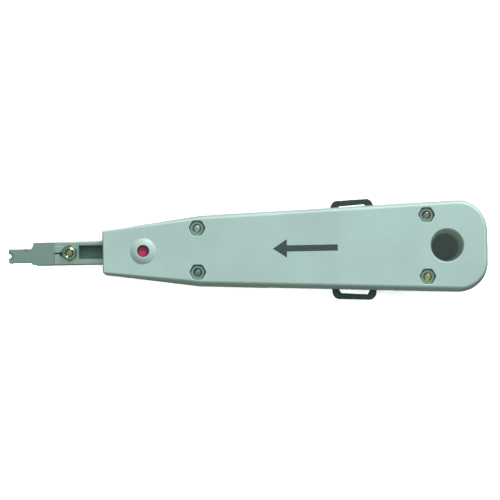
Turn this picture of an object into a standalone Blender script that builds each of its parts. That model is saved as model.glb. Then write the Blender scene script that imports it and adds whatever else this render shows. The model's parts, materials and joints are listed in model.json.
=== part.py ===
"""Sensor insertion tool for telecom terminal strips (a punch down tool).

It lies flat with its nut side up. +X runs from the fork at the tip to the hanging
hole, +Y is across the handle, +Z is up through its thickness. The origin is under
the middle of the tool, on the surface that it rests on. Sizes below are in
millimetres; mm() turns them into metres.
"""

import math

import bmesh
import bpy
from mathutils import Matrix, Vector

# ---- driving dimensions, in millimetres ----

LENGTH = 178.0
TIP_X = -LENGTH / 2
REAR_X = LENGTH / 2
THICKNESS = 18.0
PARTING_Z = THICKNESS / 2
PARTING_GAP = 0.15
CLEAR = 0.15

# Handle outline, seen from above
FRONT_X = -54.2
FRONT_HALF_WIDTH = 8.27
BREAK_X = -18.0
BREAK_HALF_WIDTH = 13.2
SIDE_SLOPE = math.tan(math.radians(2.37))
REAR_CORNER_RADIUS = 11.0
REAR_BULGE = 0.3

# Handle walls: height from the parting plane, then the insets from the outline
# of the long sides, of the sides at the mouth, and of the mouth's face
OUTER_STEPS = (
    (PARTING_GAP, 0.0, 0.0, 0.0),
    (8.25, 1.0, 0.4, 0.3),
    (8.72, 1.22, 0.55, 0.45),
    (9.0, 1.75, 0.95, 0.8),
)
CAVITY_STEPS = ((-0.6, 2.3, 2.0, 2.0), (7.0, 3.2, 2.6, 2.3))

# Case screws, with hex nuts on the upper face
SCREW_SPOTS = ((-18.9, 8.15), (-18.9, -8.15), (66.0, 11.4), (66.0, -11.4))
SCREW_RADIUS = 1.5
SCREW_HEAD_RADIUS = 2.75
SCREW_HEAD_Z = (0.9, 2.9)
SCREW_END_Z = 17.0
SCREW_HOLE_RADIUS = 1.7
BOSS_RADIUS = 3.9
NUT_CORNER_RADIUS = 3.0
NUT_POCKET_RADIUS = 3.2
NUT_Z = (14.8, 17.1)
COUNTERBORE = (3.1, 3.1)

# Hanging hole
HANG_X = 73.4
HANG_UPPER_RADII = (5.75, 6.2)
HANG_LOWER_RADII = (4.95, 5.25)
HANG_WALL_RADIUS = 7.0

# Dome with the lock pin
DOME_X = -38.95
DOME_RADIUS = 4.8
DOME_TOP_Z = 19.2
PIN_RADIUS = 2.0
PIN_HOLE_RADIUS = 2.2
PIN_TOP_Z = 17.9
PIN_COLLAR_Z = (13.45, 14.05)
PIN_COLLAR_RADIUS = 2.7
PIN_WAIST_RADIUS = 1.2
PIN_END_Z = 11.9

# Carrier tube and what slides with it
TRAVEL = 8.0
CARRIER_HALF = 4.2
CARRIER_WALL = 1.4
CARRIER_X = (-72.5, -31.0)
CAVITY_HALF = CARRIER_HALF - CARRIER_WALL
HEAD_OPENING_HALF = 4.5
WINDOW_X = (-62.8, -52.0)
WINDOW_Y = (-2.2, 2.9)
PIVOT_X = -66.4
PIVOT_RADIUS = 1.5
PIVOT_NUT_RADIUS = 3.1
TONGUE_X = -68.3
TONGUE_Y = (0.1, 2.6)
SLIT_HOLE = (-69.6, -0.65, 0.75)

# Nose with its fork
NOSE_Y = -0.76
NOSE_HALF = 2.53
NOSE_END_X = -80.5
NOSE_Z = (9.6, 13.2)
FORK_HALF = 0.8
FORK_DEPTH = 1.25
COLLAR_CAVITY_Z = (6.2, 9.5)

# Scissors and sensor, as layers from the top down
FIXED_BLADE_Z = (8.5, 9.4)
MOVING_BLADE_Z = (7.5, 8.35)
SENSOR_Z = (6.4, 7.3)
CLOSING_ANGLE = math.radians(4.6)
TAIL_RADIUS = 24.0
FOLLOWER_RADIUS = 0.9
FOLLOWER_Z = (2.7, 8.9)
CAM_PLATE_Z = (2.2, 4.4)
SENSOR_TRAVEL = 2.0

# Swing-out hook and blade
SWING_PIVOT_X = 66.0
SWING_PIVOT_Y = 11.4
SWING_Z = (8.35, 9.65)
SLOT_HALF_HEIGHT = 1.2
SLOT_INNER_Y = 7.8
SLOT_FRONT_X = 7.0
ARM_HALF_WIDTH = 2.5
ARM_RING_RADIUS = 3.4
WASHER_THICKNESS = 0.3

# Return spring
SPRING_X = (-28.8, 6.7)
SPRING_RADIUS = 3.4
SPRING_WIRE = 1.0
SEAT_X = (7.0, 11.0)
ROD_RADIUS = 2.0


def mm(value):
    """Millimetres as metres."""
    return value * 0.001


def point(x, y, z):
    """A point given in millimetres."""
    return Vector((mm(x), mm(y), mm(z)))


# ---- collections and materials ----


def clear_scene():
    for old in list(bpy.data.objects):
        bpy.data.objects.remove(old, do_unlink=True)


def new_collection(name, hidden=False):
    made = bpy.data.collections.new(name)
    made.hide_render = hidden
    bpy.context.scene.collection.children.link(made)
    return made


clear_scene()
PARTS = new_collection("punch_down_tool")
CUTTERS = new_collection("cutters", hidden=True)


def material(name, colour, roughness, metallic=0.0):
    """A Principled material of one colour."""
    made = bpy.data.materials.new(name)
    made.use_nodes = True
    shader = made.node_tree.nodes["Principled BSDF"]
    shader.inputs["Base Color"].default_value = (*colour, 1.0)
    shader.inputs["Roughness"].default_value = roughness
    shader.inputs["Metallic"].default_value = metallic
    made.diffuse_color = (*colour, 1.0)
    return made


CASE_PLASTIC = material("case_plastic", (0.43, 0.57, 0.54), 0.55)
PIN_PLASTIC = material("pin_plastic", (0.42, 0.04, 0.12), 0.4)
GUIDE_PLASTIC = material("guide_plastic", (0.08, 0.09, 0.09), 0.5)
TIP_STEEL = material("tip_steel", (0.24, 0.30, 0.28), 0.4, 1.0)
CARRIER_STEEL = material("carrier_steel", (0.33, 0.37, 0.35), 0.4, 1.0)
BRIGHT_STEEL = material("bright_steel", (0.62, 0.63, 0.60), 0.3, 1.0)
BLADE_STEEL = material("blade_steel", (0.50, 0.52, 0.52), 0.3, 1.0)
DARK_STEEL = material("dark_steel", (0.07, 0.09, 0.09), 0.45, 1.0)
SPRING_STEEL = material("spring_steel", (0.40, 0.40, 0.38), 0.35, 1.0)


# ---- outlines ----


def offset_corner(before, corner, after, first_inset, second_inset):
    """A corner of an outline after the edges that meet there move inward."""
    first = (corner - before).normalized()
    second = (after - corner).normalized()
    first_in = Vector((-first.y, first.x))
    second_in = Vector((-second.y, second.x))
    share = first_in.dot(second_in)
    along_first = first_in * (first_inset - second_inset * share)
    along_second = second_in * (second_inset - first_inset * share)
    return corner + (along_first + along_second) / (1.0 - share * share)


def corner_arc(before, corner, after, radius, steps):
    """The points that round one corner, whichever way it turns."""
    back = (before - corner).normalized()
    ahead = (after - corner).normalized()
    half = back.angle(ahead) / 2
    start = corner + back * (radius / math.tan(half))
    centre = corner + (back + ahead).normalized() * (radius / math.sin(half))
    turn = math.pi - 2 * half
    if back.cross(ahead) > 0:
        turn = -turn
    arm = start - centre
    points = []
    for step in range(steps + 1):
        spun = Matrix.Rotation(turn * step / steps, 2) @ arm
        points.append(tuple(centre + spun))
    return points


def rounded(corners):
    """An outline of (x, y, radius) corners, each rounded by its own radius."""
    points = []
    count = len(corners)
    for index, (x, y, radius) in enumerate(corners):
        if radius == 0:
            points.append((x, y))
            continue
        before = Vector(corners[index - 1][:2])
        after = Vector(corners[(index + 1) % count][:2])
        steps = 2 if radius < 2 else 4
        points += corner_arc(before, Vector((x, y)), after, radius, steps)
    return points


def circle(x, y, radius, steps=20):
    """Points round a circle."""
    angles = [2 * math.pi * step / steps for step in range(steps)]
    return [(x + radius * math.cos(a), y + radius * math.sin(a)) for a in angles]


def mirrored(corners):
    """An outline flipped across the tool's axis, still counter-clockwise."""
    return [(x, -y, radius) for x, y, radius in reversed(corners)]


def case_half_width(x):
    """Half the handle's width behind the break."""
    return BREAK_HALF_WIDTH + (x - BREAK_X) * SIDE_SLOPE


def case_outline(side_inset, mouth_side_inset, mouth_face_inset):
    """The handle's outline, moved inward by its sides' and its mouth's insets."""
    rear_x = REAR_X - REAR_BULGE
    rear_half = case_half_width(rear_x)
    lower = [
        (FRONT_X, -FRONT_HALF_WIDTH, 1.2, 2),
        (BREAK_X, -BREAK_HALF_WIDTH, 26.0, 3),
        (rear_x, -rear_half, REAR_CORNER_RADIUS, 10),
    ]
    upper = [(x, -y, radius, steps) for x, y, radius, steps in reversed(lower)]
    corners = lower + [(REAR_X, 0.0, 200.0, 2)] + upper
    count = len(corners)
    spots = [Vector(corner[:2]) for corner in corners]
    insets = [(side_inset, side_inset)] * count
    insets[0] = (mouth_face_inset, mouth_side_inset)
    insets[-1] = (mouth_side_inset, mouth_face_inset)
    moved = []
    for index in range(count):
        before = spots[index - 1]
        after = spots[(index + 1) % count]
        moved.append(offset_corner(before, spots[index], after, *insets[index]))
    points = []
    for index, (_, _, radius, steps) in enumerate(corners):
        before = moved[index - 1]
        after = moved[(index + 1) % count]
        radius = max(radius - side_inset, 0.4)
        points += corner_arc(before, moved[index], after, radius, steps)
    return points


# ---- solids ----


def place(name, mesh, look, collection=None):
    """A mesh object, flat shaded with smooth round stretches."""
    made = bpy.data.objects.new(name, mesh)
    (collection or PARTS).objects.link(made)
    if look:
        mesh.materials.clear()
        mesh.materials.append(look)
        mesh.shade_smooth()
        mesh.set_sharp_from_angle(angle=math.radians(32))
    return made


def from_bmesh(name, cage, look, collection=None):
    bmesh.ops.recalc_face_normals(cage, faces=cage.faces)
    mesh = bpy.data.meshes.new(name)
    cage.to_mesh(mesh)
    cage.free()
    return place(name, mesh, look, collection)


def loft(name, outlines, heights, look, collection=None):
    """A closed solid through outlines that have the same number of points."""
    cage = bmesh.new()
    rings = []
    for outline, z in zip(outlines, heights):
        rings.append([cage.verts.new(point(x, y, z)) for x, y in outline])
    cage.faces.new(reversed(rings[0]))
    cage.faces.new(rings[-1])
    for low, high in zip(rings, rings[1:]):
        for index in range(len(low)):
            after = (index + 1) % len(low)
            cage.faces.new((low[index], low[after], high[after], high[index]))
    return from_bmesh(name, cage, look, collection)


def box(name, x_range, y_range, z_range, look, collection=None):
    """A box between three pairs of limits."""
    low = point(x_range[0], y_range[0], z_range[0])
    high = point(x_range[1], y_range[1], z_range[1])
    cage = bmesh.new()
    bmesh.ops.create_cube(cage, size=1.0)
    bmesh.ops.scale(cage, vec=high - low, verts=cage.verts)
    bmesh.ops.translate(cage, vec=(low + high) / 2, verts=cage.verts)
    return from_bmesh(name, cage, look, collection)


def cylinder(name, spot, z_range, radii, look, collection=None, sides=24, first_corner="X"):
    """An upright cylinder, cone or hexagon; radii are its bottom and top ones."""
    spin = math.pi / 2 if first_corner == "X" else 0.0
    depth = mm(z_range[1] - z_range[0])
    cage = bmesh.new()
    bmesh.ops.create_cone(
        cage,
        cap_ends=True,
        segments=sides,
        radius1=mm(radii[0]),
        radius2=mm(radii[1]),
        depth=depth,
        matrix=Matrix.Rotation(spin, 4, "Z"),
    )
    middle = point(spot[0], spot[1], sum(z_range) / 2)
    bmesh.ops.translate(cage, vec=middle, verts=cage.verts)
    return from_bmesh(name, cage, look, collection)


def plate(name, loops, z_range, look, collection=None):
    """A flat piece: an outline and its holes, extruded between two heights."""
    curve = bpy.data.curves.new(name + "_outline", "CURVE")
    curve.dimensions = "2D"
    curve.fill_mode = "BOTH"
    curve.extrude = mm(z_range[1] - z_range[0]) / 2
    for loop in loops:
        spline = curve.splines.new("POLY")
        spline.points.add(len(loop) - 1)
        spline.use_cyclic_u = True
        for control, (x, y) in zip(spline.points, loop):
            control.co = (mm(x), mm(y), 0.0, 1.0)
    return mesh_of_curve(name, curve, mm(sum(z_range) / 2), look, collection)


def mesh_of_curve(name, curve, height, look, collection=None):
    """The closed mesh that a curve makes, raised by height."""
    guide = bpy.data.objects.new(name + "_curve", curve)
    bpy.context.scene.collection.objects.link(guide)
    graph = bpy.context.evaluated_depsgraph_get()
    mesh = bpy.data.meshes.new_from_object(guide.evaluated_get(graph))
    bpy.data.objects.remove(guide, do_unlink=True)
    cage = bmesh.new()
    cage.from_mesh(mesh)
    bmesh.ops.remove_doubles(cage, verts=cage.verts, dist=1e-6)
    bmesh.ops.translate(cage, vec=(0.0, 0.0, height), verts=cage.verts)
    return from_bmesh(name, cage, look, collection)


def turned(name, profile, look, centre, along_x=False, steps=24, collection=None):
    """A turned piece: (radius, height) points run down its outer side."""
    mesh = bpy.data.meshes.new(name)
    spots = [(mm(radius), 0.0, mm(height)) for radius, height in profile]
    edges = [(index, index + 1) for index in range(len(spots) - 1)]
    mesh.from_pydata(spots, edges, [])
    made = place(name, mesh, look, collection)
    screw = made.modifiers.new("Turn", "SCREW")
    screw.steps = steps
    screw.render_steps = steps
    screw.use_merge_vertices = True
    screw.merge_threshold = 1e-5
    screw.use_smooth_shade = True
    made.location = point(*centre)
    if along_x:
        made.rotation_euler = (0.0, math.pi / 2, 0.0)
    return made


def coil(name, start, end, centre, radius, wire, turns, look):
    """A compression spring along X."""
    curve = bpy.data.curves.new(name, "CURVE")
    curve.dimensions = "3D"
    curve.bevel_depth = mm(wire / 2)
    curve.bevel_resolution = 1
    curve.use_fill_caps = True
    spline = curve.splines.new("POLY")
    steps = int(turns * 12)
    spline.points.add(steps)
    for step, control in enumerate(spline.points):
        angle = 2 * math.pi * turns * step / steps
        x = start + wire / 2 + (end - start - wire) * step / steps
        y = centre[0] + radius * math.sin(angle)
        z = centre[1] + radius * math.cos(angle)
        control.co = (*point(x, y, z), 1.0)
    return mesh_of_curve(name, curve, 0.0, look)


def boolean(target, tool, operation):
    """Cuts with, or joins, another object, which stays as a wire guide."""
    tool.hide_render = True
    tool.display_type = "WIRE"
    modifier = target.modifiers.new(tool.name, "BOOLEAN")
    modifier.operation = operation
    modifier.object = tool


def cut(target, *tools):
    for tool in tools:
        boolean(target, tool, "DIFFERENCE")


def join(target, *tools):
    for tool in tools:
        boolean(target, tool, "UNION")


# ---- handle ----


def case_cavity(side):
    """The hollow of one half shell, less its posts, ribs and hole wall."""
    name = f"cavity_{side}"
    heights = [PARTING_Z + side * height for height, *_ in CAVITY_STEPS]
    outlines = [case_outline(*insets) for _, *insets in CAVITY_STEPS]
    cavity = loft(name, outlines, heights, None, CUTTERS)
    for index, spot in enumerate(SCREW_SPOTS):
        post = cylinder(f"{name}_post_{index}", spot, (-1, 19), (BOSS_RADIUS,) * 2, None, CUTTERS)
        cut(cavity, post)
    wall_radii = (HANG_WALL_RADIUS, HANG_WALL_RADIUS)
    wall = cylinder(f"{name}_wall", (HANG_X, 0), (-1, 19), wall_radii, None, CUTTERS, 32)
    cut(cavity, wall)
    for hand in (-1, 1):
        y_range = sorted((hand * 6.5, hand * 7.5))
        rib = box(f"{name}_long_rib_{hand}", (13, 60), y_range, (-1, 19), None, CUTTERS)
        cut(cavity, rib)
    low, high = sorted((PARTING_Z + side * 2.6, PARTING_Z + side * 10))
    rib = box(f"{name}_seat_rib", (11.4, 12.8), (-8, 8), (low, high), None, CUTTERS)
    cut(cavity, rib)
    if side > 0:
        guide = cylinder(f"{name}_guide", (DOME_X, 0), (14.2, 19), (4.2, 4.2), None, CUTTERS)
        cut(cavity, guide)
    return cavity


def hanging_hole(side):
    """The cutter of the hole's upper or lower half; both narrow downwards."""
    narrow, wide = HANG_UPPER_RADII if side > 0 else HANG_LOWER_RADII
    overrun = 0.5
    slope = (wide - narrow) / PARTING_Z
    radii = (narrow - slope * overrun, wide + slope * overrun)
    low = (PARTING_Z if side > 0 else 0.0) - overrun
    z_range = (low, low + PARTING_Z + 2 * overrun)
    return cylinder(f"hang_{side}", (HANG_X, 0), z_range, radii, None, CUTTERS, 32)


def shell(name, side):
    """One half of the handle: side is 1 for the upper half and -1 for the lower."""
    heights = [PARTING_Z + side * height for height, *_ in OUTER_STEPS]
    outlines = [case_outline(*insets) for _, *insets in OUTER_STEPS]
    half = loft(name, outlines, heights, CASE_PLASTIC)
    if side > 0:
        join(half, dome())
    cut(half, case_cavity(side))
    opening = (-HEAD_OPENING_HALF, HEAD_OPENING_HALF)
    z_opening = (PARTING_Z - HEAD_OPENING_HALF, PARTING_Z + HEAD_OPENING_HALF)
    cut(half, box(f"{name}_mouth", (-60, -50.5), opening, z_opening, None, CUTTERS))
    for hand in (-1, 1):
        y_range = sorted((hand * SLOT_INNER_Y, hand * 25))
        z_range = (PARTING_Z - SLOT_HALF_HEIGHT, PARTING_Z + SLOT_HALF_HEIGHT)
        slot = box(f"{name}_slot_{hand}", (SLOT_FRONT_X, 95), y_range, z_range, None, CUTTERS)
        cut(half, slot)
    for index, spot in enumerate(SCREW_SPOTS):
        radii = (SCREW_HOLE_RADIUS, SCREW_HOLE_RADIUS)
        cut(half, cylinder(f"{name}_hole_{index}", spot, (-2, 20), radii, None, CUTTERS, 20))
        if side > 0:
            radii = (NUT_POCKET_RADIUS, NUT_POCKET_RADIUS)
            z_range = (NUT_Z[0] - CLEAR, THICKNESS + 1)
            pocket = cylinder(f"{name}_pocket_{index}", spot, z_range, radii, None, CUTTERS, 6)
        else:
            radius, depth = COUNTERBORE
            radii = (radius, radius)
            pocket = cylinder(f"{name}_pocket_{index}", spot, (-1, depth), radii, None, CUTTERS)
        cut(half, pocket)
    cut(half, hanging_hole(side))
    if side > 0:
        radii = (PIN_HOLE_RADIUS, PIN_HOLE_RADIUS)
        cut(half, cylinder("pin_hole", (DOME_X, 0), (13, 20), radii, None, CUTTERS))


def dome():
    """The round boss on the upper face, as a cap that sinks into the wall."""
    rise = DOME_TOP_Z - THICKNESS
    profile = [(0.0, DOME_TOP_Z)]
    for step in range(1, 7):
        radius = DOME_RADIUS * step / 6
        profile.append((radius, THICKNESS + rise * (1 - (step / 6) ** 2.2)))
    profile += [(DOME_RADIUS, THICKNESS - 0.5), (0.0, THICKNESS - 0.5)]
    return turned("dome", profile, None, (DOME_X, 0, 0), steps=32, collection=CUTTERS)


def case_screws_and_nuts():
    for index, (x, y) in enumerate(SCREW_SPOTS, start=1):
        profile = [
            (0.0, SCREW_END_Z),
            (SCREW_RADIUS - 0.3, SCREW_END_Z),
            (SCREW_RADIUS, SCREW_END_Z - 0.3),
            (SCREW_RADIUS, SCREW_HEAD_Z[1]),
            (SCREW_HEAD_RADIUS, SCREW_HEAD_Z[1]),
            (SCREW_HEAD_RADIUS, SCREW_HEAD_Z[0] + 0.4),
            (SCREW_HEAD_RADIUS - 0.5, SCREW_HEAD_Z[0]),
            (0.0, SCREW_HEAD_Z[0]),
        ]
        turned(f"case_screw_{index}", profile, BRIGHT_STEEL, (x, y, 0), steps=16)
        nut = cylinder(f"case_nut_{index}", (x, y), NUT_Z, (NUT_CORNER_RADIUS,) * 2, BRIGHT_STEEL, sides=6)
        bore = cylinder(f"nut_bore_{index}", (x, y), (14, 18), (SCREW_RADIUS + 0.1,) * 2, None, CUTTERS, 16)
        cut(nut, bore)


# ---- plunger: the carrier, the nose and what they carry ----


def carrier():
    """A square tube that slides in the handle and holds the head."""
    half = (-CARRIER_HALF, CARRIER_HALF)
    z_low, z_high = PARTING_Z - CARRIER_HALF, PARTING_Z + CARRIER_HALF
    tube = box("carrier", CARRIER_X, half, (z_low, z_high), CARRIER_STEEL)
    lip = box("carrier_lip", (-63.25, -62.85), (-4.0, 4.0), (z_high - 0.5, z_high + 0.35), None, CUTTERS)
    join(tube, lip)
    inside = (-CAVITY_HALF, CAVITY_HALF)
    z_inside = (PARTING_Z - CAVITY_HALF, PARTING_Z + CAVITY_HALF)
    bore = box("carrier_bore", (-80, -20), inside, z_inside, None, CUTTERS)
    window = box("carrier_window", WINDOW_X, WINDOW_Y, (10, 15), None, CUTTERS)
    slot_x = (DOME_X - TRAVEL - 1.4, DOME_X)
    lock_slot = box("carrier_lock_slot", slot_x, (-1.45, 1.45), (10, 15), None, CUTTERS)
    keyhole = cylinder("carrier_keyhole", (DOME_X, 0), (10, 15), (3.0, 3.0), None, CUTTERS)
    notch_y = (TONGUE_Y[0] - CLEAR, TONGUE_Y[1] + CLEAR)
    notch = box("carrier_notch", (-80, TONGUE_X + CLEAR), notch_y, (10, 15), None, CUTTERS)
    hole_x, hole_y, hole_radius = SLIT_HOLE
    hole_radii = (hole_radius, hole_radius)
    slit_hole = cylinder("carrier_slit_hole", (hole_x, hole_y), (10, 15), hole_radii, None, CUTTERS, 16)
    pivot = cylinder("carrier_pivot", (PIVOT_X, 0), (3, 15), (PIVOT_RADIUS + 0.1,) * 2, None, CUTTERS)
    follower_x = PIVOT_X + TAIL_RADIUS
    follower_range = (follower_x - 2.2, follower_x + 2.2)
    follower = box("carrier_follower_window", follower_range, (-2.3, 2.3), (3, 8), None, CUTTERS)
    spring = box("carrier_spring_slot", (-56.2, -47.5), (-1.25, 1.25), (3, 8), None, CUTTERS)
    cut(tube, bore, window, lock_slot, keyhole, notch, slit_hole, pivot, follower, spring)
    cross = cylinder("carrier_cross_hole", (0, 0), (-6, 6), (1.0, 1.0), None, CUTTERS, 16)
    cross.location = point(-33.5, 0, PARTING_Z)
    cross.rotation_euler = (math.pi / 2, 0.0, 0.0)
    cut(tube, cross)


def insertion_tip():
    """The nose with its fork, the collar behind it and the tongue in the carrier."""
    low, high = NOSE_Y - NOSE_HALF, NOSE_Y + NOSE_HALF
    fork_low, fork_high = NOSE_Y - FORK_HALF, NOSE_Y + FORK_HALF
    step_front = NOSE_END_X + 0.9
    collar_front = NOSE_END_X + 1.8
    collar_end = CARRIER_X[0] - CLEAR
    outline = [
        (TIP_X + 0.15, low - 0.25, 0.35),
        (TIP_X + 1.9, low, 0.8),
        (NOSE_END_X, low, 0),
        (NOSE_END_X, 0.35 - CARRIER_HALF, 0),
        (collar_front, -CARRIER_HALF, 0),
        (collar_end, -CARRIER_HALF, 0),
        (collar_end, TONGUE_Y[0], 0),
        (TONGUE_X, TONGUE_Y[0], 0),
        (TONGUE_X, TONGUE_Y[1], 0),
        (collar_end, TONGUE_Y[1], 0),
        (collar_end, CARRIER_HALF, 0),
        (step_front, CARRIER_HALF, 0.4),
        (NOSE_END_X, high, 0.4),
        (TIP_X + 1.2, high, 0),
        (TIP_X + 0.5, high + 0.2, 0),
        (TIP_X, fork_high + 0.75, 0.2),
        (TIP_X, fork_high + 0.35, 0),
        (TIP_X + FORK_DEPTH, fork_high, 0.2),
        (TIP_X + FORK_DEPTH, fork_low, 0.2),
        (TIP_X, fork_low - 0.25, 0),
    ]
    nose = plate("insertion_tip", [rounded(outline)], NOSE_Z, TIP_STEEL)
    z_low, z_high = PARTING_Z - CARRIER_HALF, PARTING_Z + CARRIER_HALF - 0.3
    y_range = (-CARRIER_HALF, CARRIER_HALF)
    collar = box("tip_collar", (collar_front, collar_end), y_range, (z_low, z_high), None, CUTTERS)
    tongue = box("tip_tongue", (collar_end - 2, -63.3), (-2.6, 2.6), (9.65, 11.6), None, CUTTERS)
    inside = box("tip_inside", (-84, -71), (-2.9, 2.9), COLLAR_CAVITY_Z, None, CUTTERS)
    pivot = cylinder("tip_pivot", (PIVOT_X, 0), (8, 13), (PIVOT_RADIUS + 0.1,) * 2, None, CUTTERS)
    dimple = cylinder("tip_dimple", (-82.5, 1.0), (12.8, 14), (0.45, 0.45), None, CUTTERS, 12)
    join(nose, collar, tongue)
    cut(nose, inside, pivot, dimple)


def fixed_blade():
    """The scissor half that stays with the carrier."""
    outline = [
        (-88.4, -3.1, 0.3),
        (-76.0, -2.55, 0),
        (-47.8, -2.55, 0.6),
        (-47.8, 2.55, 0.6),
        (-72.0, 2.55, 1.0),
        (-77.0, -1.2, 1.0),
        (-87.9, NOSE_Y - FORK_HALF, 0),
    ]
    hole = circle(PIVOT_X, 0, PIVOT_RADIUS + 0.1)
    plate("fixed_scissor_blade", [rounded(outline), hole], FIXED_BLADE_Z, BLADE_STEEL)


def tail_spot(closed):
    """Where the follower pin stands, from its pivot: closed runs from 0 to 1."""
    angle = CLOSING_ANGLE * (closed - 0.5)
    return TAIL_RADIUS * math.cos(angle), TAIL_RADIUS * math.sin(angle)


def moving_blade():
    """The scissor half that turns on the pivot screw, with its tail and pin."""
    tail_x, tail_y = tail_spot(0)
    outline = [
        (-21.8, 0.1, 0),
        (-12.0, -0.7, 1.0),
        (-6.0, -2.3, 2.0),
        (3.0, -2.4, 1.5),
        (6.0, -1.3, 1.5),
        (tail_x + 1.7, tail_y - 1.25, 0.9),
        (tail_x + 1.7, tail_y + 1.25, 0.9),
        (6.0, 1.0, 1.5),
        (3.0, 2.4, 1.5),
        (-10.0, 2.3, 2.0),
        (-21.4, 1.5, 0.3),
    ]
    holes = [circle(0, 0, PIVOT_RADIUS + 0.1), circle(tail_x, tail_y, FOLLOWER_RADIUS + 0.05, 16)]
    blade = plate("moving_scissor_blade", [rounded(outline)] + holes, MOVING_BLADE_Z, BLADE_STEEL)
    blade.location = point(PIVOT_X, 0, 0)
    pin_radii = (FOLLOWER_RADIUS - 0.05, FOLLOWER_RADIUS - 0.05)
    pin = cylinder("follower_pin", (tail_x, tail_y), FOLLOWER_Z, pin_radii, BRIGHT_STEEL, sides=16)
    pin.location = point(PIVOT_X, 0, 0)


def cam_plate():
    """The plate in the lower shell whose slot turns the tail as the carrier slides."""
    steps = 8
    half = FOLLOWER_RADIUS + CLEAR
    path = []
    for step in range(-1, steps + 2):
        closed = step / steps
        x, y = tail_spot(closed)
        path.append((PIVOT_X + TRAVEL * closed + x, y))
    slope = math.atan2(path[-1][1] - path[0][1], path[-1][0] - path[0][0])
    shift = (-half * math.sin(slope), half * math.cos(slope))
    near = [(x - shift[0], y - shift[1]) for x, y in path]
    far = [(x + shift[0], y + shift[1]) for x, y in reversed(path)]
    outline = [(-45.3, -5.4, 0.8), (-31.6, -5.4, 0.8), (-31.6, 5.4, 0.8), (-45.3, 5.4, 0.8)]
    plate("cam_plate", [rounded(outline), near + far], CAM_PLATE_Z, BLADE_STEEL)


def sensor():
    """The slide that feels the strip and its small spring."""
    outline = [
        (-88.0, NOSE_Y - 1.3, 0.4),
        (-78.5, NOSE_Y - 1.3, 1.0),
        (-75.0, -2.5, 1.0),
        (-56.0, -2.5, 0.4),
        (-56.0, 2.5, 0.4),
        (-75.0, 2.5, 1.0),
        (-78.5, NOSE_Y + 1.3, 1.0),
        (-88.0, NOSE_Y + 1.3, 0.4),
    ]
    reach = PIVOT_RADIUS + 0.2
    slot = [
        (PIVOT_X - SENSOR_TRAVEL - reach, -reach, 1.2),
        (PIVOT_X + reach, -reach, 1.2),
        (PIVOT_X + reach, reach, 1.2),
        (PIVOT_X - SENSOR_TRAVEL - reach, reach, 1.2),
    ]
    plate("sensor_slide", [rounded(outline), rounded(slot)], SENSOR_Z, BLADE_STEEL)
    coil("sensor_spring", -55.8, -47.7, (0, 6.1), 0.8, 0.3, 7, SPRING_STEEL)


def pivot_screw_and_nut():
    z_low, z_high = PARTING_Z - CARRIER_HALF, PARTING_Z + CARRIER_HALF
    profile = [
        (0.0, z_high + 1.7),
        (PIVOT_RADIUS - 0.3, z_high + 1.7),
        (PIVOT_RADIUS, z_high + 1.4),
        (PIVOT_RADIUS, z_low - CLEAR),
        (2.7, z_low - CLEAR),
        (2.7, z_low - 1.0),
        (2.2, z_low - 1.4),
        (0.0, z_low - 1.4),
    ]
    turned("pivot_screw", profile, BRIGHT_STEEL, (PIVOT_X, 0, 0), steps=20)
    z_range = (z_high + CLEAR, z_high + 2.1)
    spot = (PIVOT_X, 0)
    radii = (PIVOT_NUT_RADIUS, PIVOT_NUT_RADIUS)
    nut = cylinder("pivot_nut", spot, z_range, radii, BRIGHT_STEEL, sides=6, first_corner="Y")
    bore_radii = (PIVOT_RADIUS + 0.1, PIVOT_RADIUS + 0.1)
    cut(nut, cylinder("pivot_nut_bore", spot, (13, 16), bore_radii, None, CUTTERS, 20))


def plunger_rod():
    """The rod behind the carrier, with the flange that the spring pushes."""
    profile = [
        (0.0, 9.0),
        (ROD_RADIUS - 0.4, 9.0),
        (ROD_RADIUS, 8.6),
        (ROD_RADIUS, -29.2),
        (4.4, -29.2),
        (4.4, -30.8),
        (2.6, -30.8),
        (2.6, -35.6),
        (0.0, -35.6),
    ]
    rod = turned("plunger_rod", profile, BRIGHT_STEEL, (0, 0, PARTING_Z), along_x=True)
    hole = cylinder("rod_cross_hole", (0, 0), (-6, 6), (1.0, 1.0), None, CUTTERS, 16)
    pin = cylinder("rod_cross_pin", (0, 0), (-4.1, 4.1), (0.9, 0.9), BRIGHT_STEEL, sides=16)
    for piece in (hole, pin):
        piece.location = point(-33.5, 0, PARTING_Z)
        piece.rotation_euler = (math.pi / 2, 0.0, 0.0)
    cut(rod, hole)


def return_spring():
    coil("return_spring", *SPRING_X, (0, PARTING_Z), SPRING_RADIUS, SPRING_WIRE, 9, SPRING_STEEL)
    seat = box("spring_seat", SEAT_X, (-6.2, 6.2), (2.3, 15.7), GUIDE_PLASTIC)
    bore = cylinder("seat_bore", (0, 0), (-6, 6), (ROD_RADIUS + 0.2,) * 2, None, CUTTERS)
    bore.location = point(sum(SEAT_X) / 2, 0, PARTING_Z)
    bore.rotation_euler = (0.0, math.pi / 2, 0.0)
    cut(seat, bore)


def front_guide():
    """The sleeve in the handle's mouth that the carrier slides in."""
    sleeve = box("front_guide", (-51.2, -46.0), (-5.4, 5.4), (2.4, 15.6), GUIDE_PLASTIC)
    inside = (-CARRIER_HALF - CLEAR, CARRIER_HALF + CLEAR)
    z_inside = (PARTING_Z + inside[0], PARTING_Z + inside[1])
    cut(sleeve, box("guide_bore", (-60, -40), inside, z_inside, None, CUTTERS))


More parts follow.
